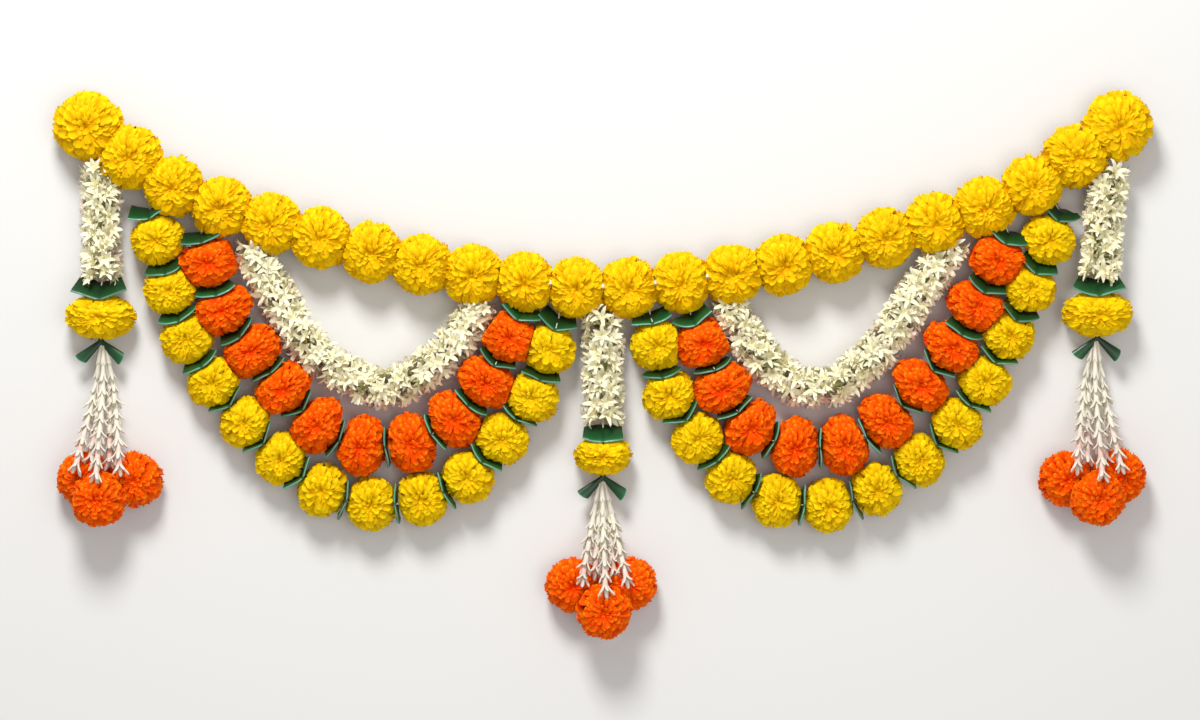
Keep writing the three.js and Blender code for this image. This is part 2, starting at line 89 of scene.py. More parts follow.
ROWS = {
    "outer": {"groups": [4, 5, 4], "half_width": 25.5, "depth": 25},
    "inner": {"groups": [3, 4, 3], "half_width": 29, "depth": 28.5},
}
ROOM = 0.8  # how far a swag bloom reaches past the middle between it and the next one

# Jasmine ropes
JASMINE_PARTS = 3
JASMINE_HEIGHT = 20
JASMINE_REACH = 19.4  # half of a rope's width
NARROWS_FROM = 0.7  # share of the way from a swag's middle to its end
NARROW_END = 0.85  # share of the width that is left at the end
ROPE_CORE = {"radius": 3.4, "pitch": 6, "sides": 8, "end": 0.05}

# Tassels: across and along are half of their bloom's sizes, and collar is the collar leaf's length
TASSELS = {
    "left": {"top": [-453, 183], "foot": [-452, 74], "bloom": [-453, 43], "across": 32.5,
             "along": 21.5, "collar": 51, "bend": 8, "bud_top": [-451, 19],
             "bunch": [[-468, -103], [-422, -104], [-452, -121]]},
    "middle": {"top": [0, 47], "foot": [0, -53], "bloom": [0, -82], "across": 26.5,
               "along": 19, "collar": 37, "bend": 0.8, "bud_top": [-1, -104],
               "bunch": [[-27, -199], [24, -198], [1, -221]]},
    "right": {"top": [457, 180], "foot": [447, 75], "bloom": [446, 46], "across": 33,
              "along": 21.5, "collar": 48, "bend": 6.5, "bud_top": [444, 23],
              "bunch": [[418, -103], [465, -101], [443, -120]]},
}
TASSEL_DEPTH = 27.5
TASSEL_HEIGHT = TASSEL_DEPTH * FLAT_BACK
BUNCH_RADIUS = 25.5
BUNCH_RISES = [0, 0, 24]  # the third bloom of a bunch lies on the other two

# Petals of a bloom. Lengths and widths are shares of the bloom's radius.
LOWEST_TIP = math.radians(120)  # from straight up, round to the lowest tips
GOLDEN_ANGLE = math.pi * (3 - math.sqrt(5))
PETAL_ROWS = (0, 0.42, 0.74, 1)  # shares of a petal's length
PETAL_COLUMNS = 7
PETAL_ROOT = 0.40  # distance of a root from the bloom's centre
PETAL_RISE = 0.56  # and how much further out its tip is
PETAL_LIMIT = 1.04
RUFFLES = 3
PETAL_RANGES = {
    "tip": (0.96, 1.04), "azimuth": (-0.12, 0.12), "width": (0.8, 1.2),
    "scallop": (0.01, 0.045), "scallop_phase": (-0.7, 0.7),
    "most_length": (0.8, 1.1), "length": (0.7, 0.9), "lift": (-0.06, 0.02),
    "curl": (0, 1), "hollow": (-0.02, 0.09), "ruffle": (0.004, 0.022), "ruffle_phase": (-1, 1),
    "tip_curl": (-0.07, 0.03), "swerve": (-0.3, 0.3), "shade": (0, 1),
}
NAVEL_WIDTH = 0.30
NAVEL_DEPTH = 0.18
# The heart's dark tone is painted shade between the petals
HEART = {"radius": 0.60, "rows": 8, "columns": 12, "slack": 0.85, "tone": 0.12}
ABOVE_FLOOR = 0.1  # petals go no lower

# What petals keep clear of
NEAR_BLOOM = 90  # blooms whose centres are further apart can't meet
LEAF_ROOM = 0.8
CLEAR_SHARE = 0.9  # of a jasmine rope's half width

# Folded leaves. They are longer at the fold than at the foot, and lean down the doorway by droop.
LEAF = {"length": 37, "foot": 27, "below": 3.5, "above": 19.5, "droop": 12, "taper": 1.0}
COLLAR_LEAF = {"foot": 34, "below": 3.5, "above": 19.5, "droop": 20, "taper": 0.4}
COLLAR_SHIFT = 5.5  # from the bloom's edge up to the collar leaf's foot
END_LEAF_SHIFT = 4.5
MOST_BEND = 8  # how far the ends of a swag leaf bend up the doorway at most
BEND_SHARE = (0.3, 1)
BEND_SLOPE = 1.5  # how fast the bend grows with the slope of the thread
LEAN_SHARE = (0.3, 0.8)
HIGH_LEAN = {"above": -40, "growth": 0.008, "most": 0.8}  # and more of it, higher up the doorway
MOST_TWIST = 0.05
FOLD_RADIUS = 0.9
FOLD_WAVE = 0.6
LEAF_COLUMNS = 17

# Once round the hairpin of a folded leaf: up the front blade, over the fold, down the back blade
FOLD_RISE = np.array([[0, 0.2, 0.42, 0.64, 0.84, 0.95, 0.99, 1, 0.99, 0.95, 0.84, 0.6, 0.3, 0]])
FOLD_SIDE = np.array([[1, 1, 1, 1, 1, 0.85, 0.5, 0, -0.5, -0.85, -1, -1, -1, -1.0]])

# A stitch on a leaf: shares of its height, and how far out of it in fold radii
STITCH = [(0.50, 1.0), (0.62, 1.9), (0.78, 1.7), (0.86, 0.9)]
STITCH_SLANT = 1.4
STITCH_RADIUS = 0.45
STITCHED_SHARE = 0.5

# Rolled leaves under a tassel's bloom
CONE_ANGLES = (-0.85, 0.85)
CONE = {"narrow": 1.2, "widening": 4.6, "above": 3, "length": 27, "slant": 2.4, "flatness": 0.42}
CONE_GAP = 1  # from the bloom's edge down to the cones

THREAD_RADIUS = 0.7
THREAD_SIDES = 6

# Jasmine florets
FLORET_PITCH = 6.0
FLORETS_AROUND = 9
FLORET_SHARE = 0.92  # of the rope's half width, where most florets end
FLORET_LIMIT = 1.17  # of that reach, which no petal passes
FLORET_PETALS = 6
FLORET_INSET = 5.5  # from a rope's end to its first whorl
FLORET_ROOT = 3.5  # from the rope's middle
FLORET_TURN = 0.16  # of a step round the rope
FLORET_FACING = {"sideways": (-0.4, 0.7), "along": (-0.6, 0.6), "tilt": 0.25}
FLORET_SLIP = (-1.5, 1.5)  # of its root along the rope
FLORET_THROAT = (0.36, 0.66)  # share of the reach
FLORET_BLUSH = {"all": 0.10, "under": 0.9, "lower": 0.5}  # chances
FLORET_PETAL = {"rows": 6, "half_width": 2.15, "tip": 0.1, "cup": 0.55, "length": (0.68, 0.88),
                "openness": (0.85, 1.2)}
FLORET_OPENNESS = (0.6, 1.05)
FLORET_TUBE = {"steps": np.array([0, 0.5, 1.0]), "radii": np.array([0.9, 1.0, 1.7]), "sides": 5}
LOWEST_THROAT = 2.0
LOWEST_JASMINE = 0.15

# Bud strings: where they end beside the top bloom of the bunch, and three heights on the way
BUD_STRINGS = [
    {"foot": [-19, 30], "heights": [10, 21, 49]},
    {"foot": [1, 22], "heights": [22, 34, 64]},
    {"foot": [20, 29], "heights": [10, 21, 49]},
    {"foot": [-8, 36], "heights": [6, 14, 36]},
    {"foot": [9, 34], "heights": [6, 14, 36]},
]
BUD_BENDS = (0.33, 0.58)  # shares of the way down, where the first two heights are
BUD_TOP_SPACING = 0.1  # of the spacing at their feet
BUD_TOP_DROP = 2
BUD_LENGTH = 14.0
BUD_STEPS = np.array([-0.12, 0.1, 0.45, 0.75, 1.0])
BUD_RADII = np.array([0.9, 1.7, 2.0, 2.3, 2.9])
BUD_SIDES = 8
FIRST_BUD = 0.8  # sizes of the buds, from the top of a string down
BUD_GROWTH = 0.12
LARGEST_BUD = 1.12
BUD_THREAD_RADIUS = 0.8

# The short petals that open at a bud's mouth
BUD_PETALS = 5
FINGER_STEPS = np.array([0, 0.3, 0.55, 0.78, 0.93, 1.0])
FINGER_WIDTHS = np.array([0.75, 0.95, 1.0, 0.9, 0.62, 0.08])
FINGER = {"length": (8.5, 11.5), "flare": (0.45, 1.05), "half_width": 1.8, "half_depth": 0.75,
          "out": 1.5, "back": 3.0, "sides": 6}

# Seeds of the random draws, and how far they are apart from one part to the next
MAIN_SEED = 100
ROW_SEED, ROW_SEED_STEP = 200, 50
STATION_SEED = 40  # added to a row's own
JASMINE_SEED, JASMINE_SEED_STEP = 500, 10
TASSEL_SEED, TASSEL_SEED_STEP = 600, 20
STRAND_SEED = 4  # added to a tassel's own, as the next is
BUD_SEED = 10
ROW_LEAF_SEED = 800
TASSEL_LEAF_SEED = 900

# Floor, light and camera
FLOOR_SIZE = 8.0
FLOOR_COLOUR = (0.78, 0.77, 0.75)
FLOOR_ROUGHNESS = 0.9
LIGHTS = {
    "key": {"location": (-0.4, 1.7, 1.7), "size": 0.8, "energy": 52},
    "fill": {"location": (0.7, -0.3, 2.4), "size": 1.6, "energy": 12},
}
WORLD_STRENGTH = 0.46
FIELD_WIDTH = 1.08  # across the frame, at the middle of the garland's height
FIELD_CENTRE = (-0.00201, 0.00299)
MIDDLE_HEIGHT = 0.028
CAMERA_DISTANCE = 3.0
CAMERA_SIGHT = 100
SENSOR = 36.0


# Points and directions
def unit(v):
    return v / np.linalg.norm(v, axis=-1, keepdims=True)


def place(xy, height):
    """A point of the drawing, at a height above the surface."""
    return np.array([xy[0], xy[1], height], float) - OUTLINE_MIDDLE


def turned(points, angle):
    """Points turned about an upright axis."""
    cos, sin = math.cos(angle), math.sin(angle)
    x, y, z = points[..., 0], points[..., 1], points[..., 2]
    return np.stack([x * cos - y * sin, x * sin + y * cos, z], axis=-1)


def tilted(points, angle):
    """Points turned about an axis across the doorway, so that what faces up leans down it."""
    cos, sin = math.cos(angle), math.sin(angle)
    x, y, z = points[..., 0], points[..., 1], points[..., 2]
    return np.stack([x, y * cos - z * sin, y * sin + z * cos], axis=-1)


def all_round(count):
    """Even angles, once round."""
    return np.linspace(0, 2 * math.pi, count, endpoint=False)


def rings(centres, side, over, radii, sides):
    """A ring of points round each centre, in the plane of its side and over directions."""
    angle = all_round(sides)
    ring = side[:, None] * np.cos(angle)[None, :, None] + over[:, None] * np.sin(angle)[None, :, None]
    return centres[:, None] + ring * np.reshape(radii, (-1, 1, 1))


class Route:
    """A smooth curve through points, walked by the share of its length."""

    STEPS = 60
    STEP_SHARE = 0.004  # to either side of a point, for its direction

    def __init__(self, points, height):
        knots = np.array([[x, y, height] for x, y in points], float) - OUTLINE_MIDDLE
        first = 2 * knots[0] - knots[1]
        last = 2 * knots[-1] - knots[-2]
        knots = np.vstack([first, knots, last])
        t = np.linspace(0, 1, self.STEPS, endpoint=False)[:, None]
        spans = []
        for a, b, c, d in zip(knots, knots[1:], knots[2:], knots[3:]):
            leave, arrive = (c - a) / 2, (d - b) / 2
            cubic = 2 * (b - c) + leave + arrive
            square = 3 * (c - b) - 2 * leave - arrive
            spans.append(cubic * t ** 3 + square * t ** 2 + leave * t + b)
        self.line = np.vstack([*spans, knots[-2:-1]])
        self.measure()

    def measure(self):
        steps = np.linalg.norm(np.diff(self.line, axis=0), axis=1)
        self.walked = np.concatenate([[0], np.cumsum(steps)])
        self.length = self.walked[-1]

    def at(self, share):
        return np.stack([np.interp(np.asarray(share) * self.length, self.walked, self.line[:, k])
                         for k in range(3)], axis=-1)

    def direction(self, share):
        share = np.asarray(share, float)
        ahead = self.at(np.minimum(share + self.STEP_SHARE, 1))
        behind = self.at(np.maximum(share - self.STEP_SHARE, 0))
        return unit(ahead - behind)

    def frames(self, share):
        """Position, direction, side and height directions at a share, or at many."""
        direction = self.direction(share)
        side = unit(np.cross(np.broadcast_to(UP, direction.shape), direction))
        over = np.cross(direction, side)
        return self.at(share), direction, side, over

    def nearest(self, point):
        return self.line[np.argmin(np.linalg.norm(self.line - point, axis=1))]


class BudRoute(Route):
    """A bud string's route, through points that have heights of their own."""

    def __init__(self, points):
        super().__init__([point[:2] for point in points], 0)
        position = np.linspace(0, len(points) - 1, len(self.line))
        heights = [point[2] for point in points]
        self.line[:, 2] = np.interp(position, np.arange(len(points)), heights)
        self.measure()


# Meshes
class Piece:
    """Gathers grids of points into one mesh. Each point has a tone, from root to tip, a shade of its
    petal, and a flank, from one side of the petal to the other."""

    def __init__(self):
        self.points, self.quads, self.tones, self.shades, self.flanks = [], [], [], [], []
        self.count = 0

    def add_grids(self, points, tone, shade, flank=0.0, closed=False):
        """points: (grids, rows, columns, 3). A closed grid joins its last column to its first."""
        grids, rows, columns, _ = points.shape
        r = np.arange(rows - 1)[:, None]
        c = np.arange(columns if closed else columns - 1)[None, :]
        following = (c + 1) % columns
        quad = np.stack([r * columns + c, r * columns + following,
                         (r + 1) * columns + following, (r + 1) * columns + c], axis=-1).reshape(-1, 4)
        starts = self.count + np.arange(grids)[:, None, None] * rows * columns
        self.quads.append((quad[None] + starts).reshape(-1, 4))
        self.points.append(points.reshape(-1, 3))
        self.tones.append(np.broadcast_to(tone, points.shape[:3]).reshape(-1))
        self.shades.append(np.broadcast_to(shade, points.shape[:3]).reshape(-1))
        self.flanks.append(np.broadcast_to(flank, points.shape[:3]).reshape(-1))
        self.count += grids * rows * columns

    def build(self, name, material, nodes, slot):
        mesh = bpy.data.meshes.new(name)
        points = np.vstack(self.points) * MM
        quads = np.vstack(self.quads)
        mesh.vertices.add(len(points))
        mesh.vertices.foreach_set("co", points.ravel())
        mesh.loops.add(quads.size)
        mesh.loops.foreach_set("vertex_index", quads.ravel())
        mesh.polygons.add(len(quads))
        mesh.polygons.foreach_set("loop_start", np.arange(len(quads)) * 4)
        mesh.polygons.foreach_set("loop_total", np.full(len(quads), 4))
        mesh.polygons.foreach_set("use_smooth", np.ones(len(quads), bool))
        mesh.update(calc_edges=True)
        for key, values in (("tone", self.tones), ("shade", self.shades), ("flank", self.flanks)):
            layer = mesh.attributes.new(key, "FLOAT", "POINT")
            layer.data.foreach_set("value", np.concatenate(values).astype(np.float32))
        mesh.validate()
        mesh.materials.append(material)
        piece = bpy.data.objects.new(name, mesh)
        bpy.context.scene.collection.objects.link(piece)
        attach(piece, "root")
        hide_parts(*nodes)


# Materials
def attribute(nodes, name):
    node = nodes.new("ShaderNodeAttribute")
    node.attribute_name = name
    return node.outputs["Fac"]


def streaks(nodes, links, tone, shade):
    """Fine lines that run along a petal, different on each."""
    vector = nodes.new("ShaderNodeCombineXYZ")
    for axis, value, stretch in (("X", attribute(nodes, "flank"), 2.2), ("Y", shade, 40.0),
                                 ("Z", tone, 0.8)):
        scaled = nodes.new("ShaderNodeMath")
        scaled.operation = "MULTIPLY"
        scaled.inputs[1].default_value = stretch
        links.new(value, scaled.inputs[0])
        links.new(scaled.outputs[0], vector.inputs[axis])
    noise = nodes.new("ShaderNodeTexNoise")
    noise.inputs["Scale"].default_value = 1.6
    noise.inputs["Detail"].default_value = 2.0
    links.new(vector.outputs["Vector"], noise.inputs["Vector"])
    return noise.outputs["Fac"]


def ramp_material(name, stops, roughness, specular, shade_spread, streak=0.0, coat=0.0):
    """Colour runs along each petal from root to tip, and differs a little from petal to petal."""
    material = bpy.data.materials.new(name)
    material.use_nodes = True
    nodes, links = material.node_tree.nodes, material.node_tree.links
    shader = nodes["Principled BSDF"]
    shader.inputs["Roughness"].default_value = roughness
    shader.inputs["Specular IOR Level"].default_value = specular
    shader.inputs["Coat Weight"].default_value = coat
    tone, shade = attribute(nodes, "tone"), attribute(nodes, "shade")
    ramp = nodes.new("ShaderNodeValToRGB")
    while len(ramp.color_ramp.elements) < len(stops):
        ramp.color_ramp.elements.new(0.5)
    for element, (position, colour) in zip(ramp.color_ramp.elements, stops):
        element.position = position
        element.color = (*colour, 1)
    links.new(tone, ramp.inputs["Fac"])
    spread = nodes.new("ShaderNodeMapRange")
    spread.inputs["To Min"].default_value = 1 - shade_spread
    spread.inputs["To Max"].default_value = 1 + shade_spread
    links.new(shade, spread.inputs["Value"])
    value = spread.outputs["Result"]
    if streak:
        # The lines darken more than they lighten
        lines = nodes.new("ShaderNodeMapRange")
        lines.inputs["From Min"].default_value = 0.3
        lines.inputs["From Max"].default_value = 0.7
        lines.inputs["To Min"].default_value = 1 - streak
        lines.inputs["To Max"].default_value = 1 + 0.4 * streak
        links.new(streaks(nodes, links, tone, shade), lines.inputs["Value"])
        both = nodes.new("ShaderNodeMath")
        both.operation = "MULTIPLY"
        links.new(value, both.inputs[0])
        links.new(lines.outputs["Result"], both.inputs[1])
        value = both.outputs[0]
    colour = nodes.new("ShaderNodeHueSaturation")
    links.new(value, colour.inputs["Value"])
    links.new(ramp.outputs["Color"], colour.inputs["Color"])
    links.new(colour.outputs["Color"], shader.inputs["Base Color"])
    return material


# Each petal ramp runs from painted shade at its dark root, deep between the overlapping petals,
# through the petal's own colour, to a painted highlight at its bright tip
GOLD = ramp_material("golden_petals", [
    (0.0, (0.32, 0.08, 0.0)), (0.5, (0.84, 0.40, 0.0)),
    (0.8, (0.95, 0.56, 0.001)), (1.0, (1.0, 0.70, 0.003)),
], roughness=0.65, specular=0.06, shade_spread=0.10, streak=0.12)
LEMON = ramp_material("lemon_petals", [
    (0.0, (0.28, 0.08, 0.0)), (0.5, (0.76, 0.40, 0.0)),
    (0.8, (0.90, 0.57, 0.001)), (1.0, (1.0, 0.75, 0.005)),
], roughness=0.65, specular=0.06, shade_spread=0.12, streak=0.12)
FLAME = ramp_material("flame_petals", [
    (0.0, (0.42, 0.004, 0.0)), (0.5, (0.90, 0.040, 0.0)),
    (0.85, (1.0, 0.120, 0.0)), (1.0, (1.0, 0.30, 0.006)),
], roughness=0.65, specular=0.05, shade_spread=0.12, streak=0.12)
CREAM = ramp_material("cream_florets", [
    (0.0, (0.58, 0.56, 0.22)), (0.25, (0.80, 0.77, 0.42)),
    (0.5, (0.93, 0.88, 0.58)), (1.0, (0.97, 0.92, 0.68)),
], roughness=0.5, specular=0.3, shade_spread=0.06, streak=0.08)
BLUSH = ramp_material("blushed_florets", [
    (0.0, (0.62, 0.48, 0.28)), (0.3, (0.84, 0.66, 0.50)),
    (0.7, (0.92, 0.74, 0.63)), (1.0, (0.95, 0.84, 0.75)),
], roughness=0.5, specular=0.3, shade_spread=0.08, streak=0.08)
BUD = ramp_material("bud_white", [
    (0.0, (0.74, 0.68, 0.46)), (0.35, (0.83, 0.78, 0.66)),
    (0.6, (0.81, 0.71, 0.62)), (1.0, (0.76, 0.47, 0.40)),
], roughness=0.45, specular=0.3, shade_spread=0.05, streak=0.06)
# The pale teal last stop is the painted highlight along a leaf's fold
GREEN = ramp_material("leaf_green", [
    (0.0, (0.003, 0.030, 0.007)), (0.5, (0.005, 0.062, 0.014)),
    (0.80, (0.008, 0.090, 0.024)), (0.94, (0.10, 0.34, 0.24)),
], roughness=0.38, specular=0.4, shade_spread=0.30, coat=0.12)
COTTON = ramp_material("cotton_thread", [
    (0.0, (0.78, 0.74, 0.62)), (1.0, (0.86, 0.83, 0.74)),
], roughness=0.8, specular=0.2, shade_spread=0.05)

# Kinds of bloom: a petal's width, the face's tilt down the doorway in degrees, and how much of the
# way to a neighbour the petals reach
KINDS = {
    "main": {"petals": 240, "width": 0.33, "tilt": 9, "mixing": (0.97, 1.10),
             "material": GOLD, "slot": "yellow_petals"},
    "outer": {"petals": 216, "width": 0.31, "tilt": 5, "mixing": (0.94, 1.02),
              "material": LEMON, "slot": "yellow_petals"},
    "inner": {"petals": 222, "width": 0.28, "tilt": 5, "mixing": (0.94, 1.02),
              "material": FLAME, "slot": "orange_petals"},
    "tassel": {"petals": 226, "width": 0.30, "tilt": 6, "mixing": (0.94, 1.0),
               "material": LEMON, "slot": "yellow_petals"},
    "bunch": {"petals": 212, "width": 0.28, "tilt": 5, "mixing": (0.95, 1.05),
              "material": FLAME, "slot": "orange_petals"},
}


# Blooms
class Bloom:
    """A bloom's place, half sizes and turn. Its leaves, before and after it, are set later."""

    def __init__(self, node, centre, axes, turn, seed, kind, row=None):
        self.node, self.centre, self.turn, self.seed = node, centre, turn, seed
        self.axes = np.array(axes, float)
        self.kind, self.row = kind, row
        self.before = self.after = None

    def to_world(self, local):
        return turned(local, self.turn)

    def to_local(self, world):
        return turned(world, -self.turn)

    def reach(self, direction):
        return np.linalg.norm(self.to_local(direction) * self.axes)


def drawn_in(offsets, planes, slack):
    """Points that would cross a plane are drawn in towards the bloom's centre."""
    share = np.ones(offsets.shape[:-1])
    for normal, distance in planes:
        along = offsets @ normal
        limit = np.where(along > TINY, distance * slack / np.maximum(along, TINY), np.inf)
        share = np.minimum(share, np.maximum(limit, 0))
    return offsets * share[..., None]


def petal_directions(polar, azimuth):
    outwards = np.stack([np.sin(polar) * np.cos(azimuth), np.sin(polar) * np.sin(azimuth),
                         np.cos(polar)], axis=-1)
    around = np.stack([-np.sin(azimuth), np.cos(azimuth), np.zeros_like(azimuth)], axis=-1)
    return outwards, around


def add_bloom(piece, bloom, planes):
    """Overlapping petals with rounded, ruffled tips, around a navel that looks up."""
    kind = KINDS[bloom.kind]
    rng = np.random.default_rng(bloom.seed)
    n = kind["petals"]
    per_petal = (n, 1, 1)
    ranges = {**PETAL_RANGES, "mixing": kind["mixing"]}

    def random(name):
        return rng.uniform(*ranges[name], per_petal)

    # k counts the petals from the navel down, s runs from root to tip, and v from side to side
    k = (np.arange(n) + 0.5).reshape(per_petal)
    tip = np.arccos(1 - (1 - math.cos(LOWEST_TIP)) * k / n) * random("tip")
    azimuth = k * GOLDEN_ANGLE + random("azimuth") + rng.uniform(0, 2 * math.pi)
    s = np.array(PETAL_ROWS, float).reshape(1, -1, 1)
    v = np.linspace(-1, 1, PETAL_COLUMNS).reshape(1, 1, -1)

    # Petals are wider away from the navel, and on the side that faces down the doorway
    lower_side = 0.5 - 0.5 * np.sin(azimuth + bloom.turn)
    width = kind["width"] * (0.45 + 0.55 * np.minimum(1, tip)) * random("width")
    width = width * (0.78 + 0.3 * lower_side)

    # Length along the petal, which has a rounded tip with small scallops
    wave = RUFFLES * math.pi * v
    scallop = random("scallop") * (0.5 + 0.5 * np.cos(wave + random("scallop_phase")))
    end = 1 - (0.75 * width * np.abs(v) ** 2.5 + scallop)
    along = s ** 0.8 * end
    length = np.minimum(random("most_length"), 0.18 + random("length") * tip)
    polar = tip - length * (1 - along)
    navel = NAVEL_DEPTH * np.exp(-(tip / NAVEL_WIDTH) ** 2)
    lift = random("lift")
    radius = PETAL_ROOT + (PETAL_RISE - navel + lift) * np.sin(0.5 * math.pi * along) ** 0.7

    # Hollow like a spoon, and ruffled towards the tip. Some tips curl out, most of all low down.
    half_width = 0.5 * width * (0.25 + 0.75 * np.minimum(1, 1.2 * along) ** 0.9)
    curl = random("curl") ** 2 * (0.35 + 0.65 * lower_side) * np.minimum(1, tip / 0.5)
    hollow = (random("hollow") + 0.10 * curl) * v ** 2 * along
    ruffle = random("ruffle") * np.cos(wave + random("ruffle_phase")) * along ** 1.5
    tip_curl = random("tip_curl") + 0.09 * curl
    radius = np.minimum(radius + hollow + ruffle + tip_curl * along ** 5, PETAL_LIMIT)

    outwards, around = petal_directions(polar, azimuth + random("swerve") * (1 - along))
    ball = outwards * radius[..., None] + around * (v * half_width)[..., None]
    ball = bloom.to_local(tilted(bloom.to_world(ball), math.radians(kind["tilt"])))
    offsets = bloom.to_world(ball * bloom.axes)
    offsets = drawn_in(offsets, planes, random("mixing"))
    offsets[..., 2] = np.maximum(offsets[..., 2], ABOVE_FLOOR - bloom.centre[2])
    # The tone runs from root to tip, so the ramp paints shade at the roots and a highlight at the tips
    piece.add_grids(offsets + bloom.centre, along + 0 * v, random("shade"), flank=v)
    add_heart(piece, bloom, planes)


def add_heart(piece, bloom, planes):
    """The dense heart of the bloom, which closes it between the petals. Its dark tone is painted shade
    deep in the bloom.
    """
    polar = np.linspace(0.001, math.pi - 0.001, HEART["rows"]).reshape(-1, 1)
    azimuth = all_round(HEART["columns"]).reshape(1, -1)
    outwards, _ = petal_directions(polar + 0 * azimuth, azimuth + 0 * polar)
    offsets = drawn_in(bloom.to_world(outwards * HEART["radius"] * bloom.axes), planes, HEART["slack"])
    piece.add_grids((offsets + bloom.centre)[None], HEART["tone"], shade=0.5, closed=True)


# Threads
def add_thread(piece, points, radius=THREAD_RADIUS):
    points = np.asarray(points, float)
    direction = unit(np.gradient(points, axis=0))
    side = unit(np.cross(direction, UP + 0.01))
    over = np.cross(side, direction)
    tube = rings(points, side, over, radius, THREAD_SIDES)
    piece.add_grids(tube[None], tone=0.5, shade=0.5, closed=True)


def tie_point(main_route, point):
    """The place on the main thread where a thread from the point is tied."""
    nearest = main_route.nearest(point)
    return nearest + unit(point - nearest) * (2 * THREAD_RADIUS)


# Leaves: folded blades, pinned across the thread. A station says where one sits, and how.
Station = namedtuple("Station", "point direction size bend lean")


def swag_station(point, direction, rng):
    """A leaf bends least where its thread runs across the doorway, and leans most high up in it."""
    bend = -rng.uniform(*BEND_SHARE) * MOST_BEND * np.clip(BEND_SLOPE * direction[1], -1, 1)
    high = HIGH_LEAN["growth"] * (point[1] - HIGH_LEAN["above"])
    lean = rng.uniform(*LEAN_SHARE) + np.clip(high, 0, HIGH_LEAN["most"])
    return Station(point, direction, LEAF, bend, lean)


def collar_station(spec):
    point = place(spec["bloom"], TASSEL_HEIGHT) + [0, spec["along"] + COLLAR_SHIFT, 0]
    size = {**COLLAR_LEAF, "length": spec["collar"]}
    return Station(point, DOWN, size, spec["bend"], 1)


def leaf_frame(station):
    """The leaf's foot, then the directions up the blade, out of it and along it."""
    size = station.size
    across = unit(np.cross(station.direction, UP))
    lean = math.atan(-size["droop"] * station.lean * station.direction[1]
                     / (size["above"] + size["below"]))
    up = UP * math.cos(lean) - np.cross(across, UP) * math.sin(lean)
    normal = unit(np.cross(up, across))
    return station.point - up * size["below"], up, normal, across


def add_leaf(piece, stitches, station, rng):
    """A leaf folded in two, with the fold on its upper edge. Both arms bend up the doorway."""
    foot, up, normal, across = leaf_frame(station)
    size, bend = station.size, station.bend
    height = size["above"] + size["below"]
    left_taper, right_taper = size["taper"] * rng.random(2)
    twist = rng.uniform(-MOST_TWIST, MOST_TWIST)
    v = np.linspace(-1, 1, LEAF_COLUMNS).reshape(-1, 1)
    u, w = FOLD_RISE, FOLD_SIDE

    # Towards both ends the foot rises and the fold falls, each end by its own taper
    half = 0.5 * (size["foot"] + (size["length"] - size["foot"]) * u)
    taper = np.where(v < 0, left_taper, right_taper)
    level = height * (1 - (1 - u) * (1 - 0.8 * taper * v ** 2)) * (1 - 0.4 * taper * v ** 4)

    # The blades are pinched where they are pinned, and open towards the ends of the foot
    pinch = np.exp(-(v / 0.12) ** 2) * (1 - 0.6 * u)
    open_ends = 1 + 1.4 * np.abs(v) ** 3 * (1 - u)
    thickness = FOLD_RADIUS * (1 - 0.5 * pinch) * open_ends
    sway = twist * v * level + FOLD_WAVE * np.sin(3.5 * v + bend) * u
    arms = bend * np.sqrt(v ** 2 + 0.01)
    points = (foot + across * (v * half)[..., None] + up * level[..., None]
              + normal * (w * thickness + sway)[..., None] - station.direction * arms[..., None])

    # Darker towards the foot, with a painted highlight along the fold and painted shade in the crease
    # at the pin
    crease_shade = 0.25 * np.exp(-(v / 0.045) ** 2)
    tone = np.clip(u ** 2.2 * (1 - 0.07 * np.abs(v)) - crease_shade, 0, 1)
    piece.add_grids(points[None], tone[None], rng.uniform(0, 1), closed=True)
    if rng.random() < STITCHED_SHARE:
        add_thread(stitches, [foot + up * height * rise + normal * FOLD_RADIUS * out
                              + across * STITCH_SLANT * (rise - 0.5) for rise, out in STITCH],
                   STITCH_RADIUS)


def add_leaf_cone(piece, point, angle, rng):
    """A leaf rolled into a cone, open at its lower end, that hangs beside the buds."""
    turn = np.linspace(-0.75 * math.pi, 0.85 * math.pi, 15).reshape(1, -1)
    s = np.linspace(0, 1, 8).reshape(-1, 1)
    radius = CONE["narrow"] + CONE["widening"] * s ** 0.9
    drop = -CONE["above"] + CONE["length"] * s + CONE["slant"] * s * np.cos(turn + 0.6)
    cone = np.stack([radius * np.sin(turn), -drop, CONE["flatness"] * radius * np.cos(turn)], axis=-1)
    points = turned(cone, angle) + point
    # Darker at the narrow end and pale round the open end, where the rim takes on much of the leaf's
    # painted highlight
    piece.add_grids(points[None], (0.15 + 0.75 * s ** 5 + 0 * turn)[None], rng.uniform(0, 1))


# Jasmine
def swag_width(share):
    """Half of a swag rope's width: a little less towards its ends."""
    return JASMINE_REACH * np.interp(abs(2 * share - 1), [NARROWS_FROM, 1], [1, NARROW_END])


